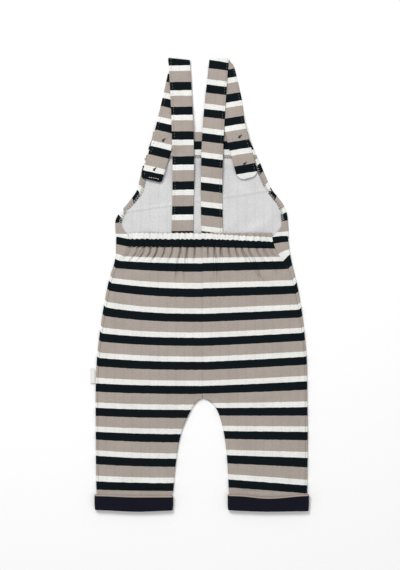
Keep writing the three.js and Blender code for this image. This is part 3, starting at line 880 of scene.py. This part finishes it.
def topHemPlace(u, v):
    inwards, up = turnedEdge(u ** 1.6, bibCut["topHem"] - bibTurn)
    y = garment["bibTop"] - inwards
    space = bibCut["hemSpace"]
    x = lerp(-bibEdge["left"](round(y, 2)) + space, bibEdge["right"](round(y, 2)) - space, v)
    return x, y, garment["clothWall"] / 2 + up + buttonPatches(x, y)


def topHemPattern(u, v):
    x, y, z = topHemPlace(u, v)
    return x, garment["bibTop"] - y + bibCut["topHemStripe"]


topHem = layCloth("bib-top-hem", topHemPlace, topHemPattern, 60, 120, garment["clothWall"], outside)


def armholeHem(side):
    top = garment["bibTop"] - bibCut["topHem"] - bibCut["hemSpace"]
    bottom = garment["waistSeam"] - bibCut["hemBelow"]

    def place(u, v):
        y = lerp(bottom, top, v)
        widening = (1 - smooth(y, bottom, bottom + bibCut["hemWidening"])) ** 2
        width = lerp(bibCut["armholeHem"], bibCut["hemFoot"][side], widening)
        inwards, up = turnedEdge(u ** 1.6, width - bibTurn)
        x = sides[side] * (bibEdge[side](y) - inwards)
        return x, y, garment["clothWall"] / 2 + up + buttonPatches(x, y)

    def pattern(u, v):
        x, y, z = place(u, v)
        inwards = bibEdge[side](lerp(bottom, top, v)) - abs(x)
        slope = (bibEdge[side](y + 1) - bibEdge[side](y - 1)) / 2
        return x, y - bibCut["mirrorY"][side] + 2 * inwards * abs(slope) / (1 + slope ** 2)

    return layCloth("armhole-hem-" + side, place, pattern, 24, 100, garment["clothWall"], outside)


hems = [topHem] + [armholeHem(side) for side in sides]


# Overlocked raw edges of the hems: a white and a black thread that zigzag over the edge
overlock = {
    "pitch": 3.0, "reach": 3.2, "radius": 0.32,
    "above": 0.15,           # mm over the hem
    "topLength": 118.0, "topInset": 3.0,
    "armholeLength": 84.0, "armholeFrom": 346.0, "armholeShort": 2.0,
}


def overlockStrands(edge, length, phase):
    count = int(length / overlock["pitch"] * 2)
    points = []
    for k in range(count + 1):
        x, y, dx, dy, z = edge((k + phase) / (count + 1))
        swing = overlock["reach"] / 2 * (1 if k % 2 else -1)
        points.append((x + dx * swing, y + dy * swing, z))
    return [points]


def topHemEdge(t):
    y = garment["bibTop"] - bibCut["topHem"] + overlock["reach"] / 2
    x = lerp(-bibEdge["left"](y) + overlock["topInset"], bibEdge["right"](y) - overlock["topInset"], t)
    return x, y, 0, 1, 2 * garment["clothWall"] + overlock["above"] + buttonPatches(x, y)


def armholeEdge(side):
    def edge(t):
        y = lerp(overlock["armholeFrom"], garment["bibTop"] - bibCut["topHem"] - overlock["armholeShort"], t)
        inwards = bibCut["armholeHem"] - overlock["reach"] / 2
        x = sides[side] * (bibEdge[side](y) - inwards)
        return x, y, 1, 0, 2 * garment["clothWall"] + overlock["above"] + buttonPatches(x, y)
    return edge


hemEdges = [(topHemEdge, overlock["topLength"])]
hemEdges += [(armholeEdge(side), overlock["armholeLength"]) for side in sides]
whiteStrands, blackStrands = [], []
for edge, length in hemEdges:
    whiteStrands += overlockStrands(edge, length, 0.0)
    blackStrands += overlockStrands(edge, length, 0.5)
whiteOverlock = sewThread("white-overlock", whiteStrands, overlock["radius"], whiteThread)
blackOverlock = sewThread("black-overlock", blackStrands, overlock["radius"], blackThread)
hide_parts("bib")
print("bib hemmed")


# Straps: flat tubes from the waistband up to a fold at the top and down onto the bib

strapCut = {
    "columns": 40, "rows": 230,
    "width": 26.0, "thickness": 2.2, "wall": 0.9, "level": 2.2,
    "closing": 6.0,          # mm over which the tube is pressed shut at its ends
    "pinch": 45.0,           # mm either way of the fold that it is drawn narrower
    "slantBack": (-80, -20), # mm from the fold over which the cloth takes up the fold's slant
    "slantFront": (30, 90),  # and loses it again
    "slumpAcross": (17, 32), # where the right strap's fold slumps to a rounded shoulder
    "slumpAlong": (534, 546),
    "slipOver": (-2, 22),    # mm from the fold over which the stripes slip
    "seamOver": (0, 30),     # and over which the tube's own seam goes underneath
    "flat": (0.053, 0.385), "area": 0.0204,
}
strapHeights = table(
    "y back front",
    (318, 1.75, 3.4),
    (372, 1.75, 3.4),
    (418, 6.0, 3.4),
    (463, 6.0, 3.4),
    (489, 2.8, 0.0),
    (560, 2.8, 0.0),
)
heightOfBack = curveOf(strapHeights, "back")
heightOfFront = curveOf(strapHeights, "front")


def strapShape(strap):
    top = Vector(strap["fold"])
    back = (top - Vector(strap["foot"])).normalized()
    front = (Vector(strap["end"]) - top).normalized()
    crease = (back + front).normalized()
    normal = Vector((-crease.y, crease.x))
    if normal.dot(back) < 0:
        normal = -normal
    across = Vector((back.y, -back.x))
    radius = (strapHeights[-1]["back"] - strapHeights[-1]["front"]) / 2
    bend = curveOf(strap["bend"], "shift")
    start = top - normal * (radius + strapCut["level"] / 2)
    backLength = (start - Vector(strap["foot"])).length
    frontLength = (start - Vector(strap["end"])).length + math.pi * radius

    # how far along the cloth a point is, when the strap leaves the fold on the slant
    def laid(side, s):
        slanted = smooth(s, *strapCut["slantBack"]) * (1 - smooth(s, *strapCut["slantFront"]))
        return s - side * slanted * across.dot(normal) / back.dot(normal)

    def surface(side, s, lift):
        flat = back * laid(side, s) + across * side
        a, b = flat.dot(crease), flat.dot(normal)
        roll = clamp(b / radius, 0, math.pi)
        beyond = max(b - math.pi * radius, 0)
        x, y = start + crease * a + normal * (min(b, 0) + (radius + lift) * math.sin(roll) - beyond)
        x += strap["backBow"] * math.sin(math.pi * clamp(1 + s / backLength))
        x += bend(round(clamp(beyond / frontLength), 4))
        y -= strap["slump"] * smooth(x, *strapCut["slumpAcross"]) * smooth(y, *strapCut["slumpAlong"])
        upper = heightOfBack(round(y, 2))
        lower = heightOfFront(round(y, 2)) + patch(x, y, strap["spare"], spareLift)
        height = lerp(lower, upper, (1 + math.cos(roll)) / 2) + lift * math.cos(roll)
        return x, y, height + buttonPatches(x, y) + strapCut["level"] / 2

    return surface, laid, backLength, frontLength


# A button's shank thread as it shows on the strap's upper side: short stitches over one another
knot = table(
    "fromX fromY toX toY",
    (-1.9, -0.9, 1.5, 0.8), (-1.2, 1.0, 1.0, -1.4), (-0.4, -1.8, 0.1, 1.6), (0.4, 0.2, 2.3, 2.6))
needle = {
    "pitch": 3.4, "length": 1.5, "radius": 0.24,
    "from": 16.0, "until": 4.0,     # mm from the strap's foot and from its end
    "proud": 0.02,                  # mm over the cloth
    "sink": 0.3, "rise": 0.12,      # a stitch's ends dip into it, and its middle stands up
    "knotRadius": 0.55, "knotUp": 0.15, "knotStep": 0.2,
}
# White stitches across the left strap's end, lying on a shallow curve
endStitch = {
    "first": -3.5, "pitch": 2.6, "length": 1.5, "peak": 0.7, "rise": 0.15, "radius": 0.28,
    "inset": 3.4, "curve": 0.25, "middle": 3,
}


def sewStrap(side):
    strap = straps[side]
    surface, laid, backLength, frontLength = strapShape(strap)
    wall = strapCut["wall"]

    def walk(u, v):
        s = lerp(-backLength, frontLength, v)
        over = max(strap["corner"] - (frontLength - s), 0)
        narrowed = strap["corner"] - math.sqrt(max(strap["corner"] ** 2 - over ** 2, 0))
        shut = smooth(min(s + backLength, frontLength - s), 0, strapCut["closing"])
        rise = lerp(wall / 2, (strapCut["thickness"] - wall) / 2, shut)
        half = (strapCut["width"] - wall) / 2 * (1 - strap["pinched"] * bell(s, strapCut["pinch"]))
        straight = half - narrowed - rise
        around = math.pi * rise
        stretches = [(around, 3.0), (2 * straight, 1.0)] * 2
        k, along = alongPath(u, stretches)
        turn = [math.pi * (1 + along), 0.0, math.pi * along, math.pi][k]
        onFace = [-1, 2 * along - 1, 1, 1 - 2 * along][k]
        walked = [0, 0, 2 * straight, 2 * straight + around][k] - straight + along * stretches[k][0]
        if k == 0:    # the tube's own seam lies along this edge, under it on each stretch
            walked += (4 * straight + 2 * around) * smooth(s, *strapCut["seamOver"]) - around
        return s, straight * onFace + rise * math.sin(turn), rise * math.cos(turn), walked

    def place(u, v):
        s, across, lift, walked = walk(u, v)
        return surface(across, s, lift)

    def pattern(u, v):
        s, across, lift, walked = walk(u, v)
        along = strap["stripeSense"] * laid(across, s) + strap["stripeStart"]
        along += strap["slip"] * smooth(s, *strapCut["slipOver"])
        return walked, along + strap["skew"] * walked

    piece = layCloth("strap-" + side, place, pattern, strapCut["columns"], strapCut["rows"], wall, outside,
                     ring=True)
    stitches = []
    proud = strapCut["thickness"] / 2 + needle["proud"]
    s = -backLength + needle["from"]
    while s < frontLength - needle["until"]:
        for face in (1, -1):
            ends = [surface(strap["stitchAt"], s + step * needle["length"], face * (proud + up))
                    for step, up in ((0, -needle["sink"]), (0.5, needle["rise"]), (1, -needle["sink"]))]
            if ends[1][2] > needle["radius"]:    # none under the straps where they lie on the floor
                stitches.append(ends)
        s += needle["pitch"]
    # the grey of these stitches is partly painted shade of their needle holes
    topstitch = sewThread("strap-topstitch-" + side, stitches, needle["radius"], greyThreadAndHoleShade)
    knots = []
    for x, y in (strap["button"], strap["spare"]):
        up = heightOfFront(round(y, 2)) + patch(x, y, strap["spare"], spareLift) + buttonPatches(x, y)
        z = up + strapCut["level"] / 2 + strapCut["thickness"] / 2 + needle["knotUp"]
        for over, stitch in enumerate(knot):
            a = (x + stitch["fromX"], y + stitch["fromY"], z - needle["sink"])
            b = (x + stitch["toX"], y + stitch["toY"], z - needle["sink"])
            knots.append([a, ((a[0] + b[0]) / 2, (a[1] + b[1]) / 2, z + needle["knotStep"] * over), b])
    endStitches = []
    for step in range(strap["endStitches"]):
        across = endStitch["first"] + endStitch["pitch"] * step
        s = frontLength - endStitch["inset"] + endStitch["curve"] * abs(step - endStitch["middle"])
        endStitches.append([
            surface(across + reach, s, -proud - up)
            for reach, up in ((0, -needle["sink"]), (endStitch["peak"], endStitch["rise"]),
                              (endStitch["length"], -needle["sink"]))])
    knotPiece = sewThread("strap-knots-" + side, knots, needle["knotRadius"], blackThread)
    if endStitches:
        sewThread("strap-end-stitches-" + side, endStitches, endStitch["radius"], whiteThread)
    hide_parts("strap_" + side)


for side in sides:
    sewStrap(side)
print("straps folded over")


# Cuffs: flattened tubes of navy jersey round the leg ends
cuffCut = {
    "columns": 180, "rows": 26,
    "wall": 1.6,
    "radius": 2.95,
    "corner": 0.5,
    "flare": 2.2,            # mm that the upper edge stands off the leg
    "flat": (0.2, 0.0205), "area": 0.0041,
}


# Where a cuff's lower and upper edges run, y being the share of the way from the inseam outwards
cuffRows = {
    "left": table("y bottom top", (0, 1.3, 19.0), (0.45, 0.0, 19.0), (1, 2.0, 20.6)),
    "right": table("y bottom top", (0, 1.7, 20.8), (0.15, 1.0, 20.4), (0.5, 0.0, 17.4), (1, 0.6, 20.8)),
}


def turnUpCuff(side):
    edges = cuffEdges[side]
    bottomAt, topAt = curveOf(cuffRows[side], "bottom"), curveOf(cuffRows[side], "top")
    radius = cuffCut["radius"]

    def walk(u, v):
        y = garment["cuffTop"] * v
        drawnIn = cuffCut["corner"] * (1 - smooth(y, 0, garment["legEnd"]))
        near = edges["inner"] + garment["cuffWall"] / 2 + radius + drawnIn
        far = edges["outer"] - garment["cuffWall"] / 2 - radius - drawnIn
        straight, bend = far - near, math.pi * radius
        stretches = [(straight, 0.6), (bend, 2.0), (straight, 1.0), (bend, 2.0)]
        return y, near, far, alongPath(u, stretches)

    def place(u, v):
        y, near, far, (k, along) = walk(u, v)
        m = [lerp(near, far, along), far, lerp(far, near, along), near][k]
        turn = [0.0, math.pi * along, math.pi, math.pi * (1 + along)][k]
        m += radius * math.sin(turn)
        share = round((m - edges["inner"]) / (edges["outer"] - edges["inner"]), 3)
        y = lerp(bottomAt(share), topAt(share), v)
        up = radius * (1 - math.cos(turn))
        return sides[side] * m, y, garment["cuffWall"] / 2 + up * (1 + cuffCut["flare"] / radius / 2 * v * v)

    def pattern(u, v):
        y, near, far, (k, along) = walk(u, v)
        straight, bend = far - near, math.pi * radius
        before = [0, straight, straight + bend, 2 * straight + bend][k]
        return before + along * (straight if k in (0, 2) else bend), y

    piece = layCloth("cuff-" + side, place, pattern, cuffCut["columns"], cuffCut["rows"], cuffCut["wall"],
                     navy, ring=True, rounded=True)
    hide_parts("cuff_" + side)


for side in sides:
    turnUpCuff(side)
print("cuffs turned up")


# The CAD's own buttons and tab
for node in ("button_left", "button_right", "spare_button_left", "spare_button_right", "side_label"):
    part = bpy.data.objects[node]
    finish = tape if node == "side_label" else resin
    if part.material_slots:
        part.material_slots[0].material = finish
    else:
        part.data.materials.append(finish)
print("buttons and tab finished")


# Pale floor, soft light from the top of the picture, and the camera straight above

studio = {
    "floorSize": 4.0,
    "cameraHeight": 2.0,
    "aim": (-3.0, 271.2),    # mm: the middle of the picture
    "pictureHeight": 0.684,
    "floorDrop": 0.0002,     # m that the floor lies below the cloth
    "worldLight": 0.47,
    "key": {"place": (-0.55, 1.0, 1.7), "size": 0.8, "power": 25},
    "fill": {"place": (0.8, -0.6, 1.9), "size": 1.4, "power": 6},
}


def paleFloor():
    material, tree, shader, grain = speckled(
        "white paper, matt", otherGrain["paperGrain"], 2.0, "#fcfcfc", "#ffffff")
    plugIn(tree, shader, {"Roughness": 0.95})
    bm = bmesh.new()
    bmesh.ops.create_grid(bm, x_segments=1, y_segments=1, size=studio["floorSize"] / 2)
    mesh = bpy.data.meshes.new("floor")
    bm.to_mesh(mesh)
    bm.free()
    mesh.materials.append(material)
    floor = bpy.data.objects.new("floor", mesh)
    floor.location.z = -studio["floorDrop"]
    bpy.context.collection.objects.link(floor)


# A round area light, turned towards the middle of the garment
def softLight(name, look):
    light = bpy.data.lights.new(name, "AREA")
    light.shape = "DISK"
    light.size = look["size"]
    light.energy = look["power"]
    lamp = bpy.data.objects.new(name, light)
    lamp.location = look["place"]
    lamp.rotation_euler = (-Vector(look["place"])).to_track_quat("-Z", "Y").to_euler()
    bpy.context.collection.objects.link(lamp)


paleFloor()
softLight("key light", studio["key"])
softLight("fill light", studio["fill"])

world = bpy.data.worlds.new("studio")
world.use_nodes = True
world.node_tree.nodes["Background"].inputs["Color"].default_value = linear("#ffffff")
world.node_tree.nodes["Background"].inputs["Strength"].default_value = studio["worldLight"]
bpy.context.scene.world = world
bpy.context.scene.view_settings.view_transform = "Standard"

cameraData = bpy.data.cameras.new("camera")
cameraData.sensor_fit = "VERTICAL"
cameraData.sensor_height = 36
cameraData.lens = 36 * studio["cameraHeight"] / studio["pictureHeight"]
camera = bpy.data.objects.new("camera", cameraData)
camera.location = inFrame(*studio["aim"], studio["cameraHeight"] * 1000)
bpy.context.collection.objects.link(camera)
bpy.context.scene.camera = camera
print("floor, lights and camera set")
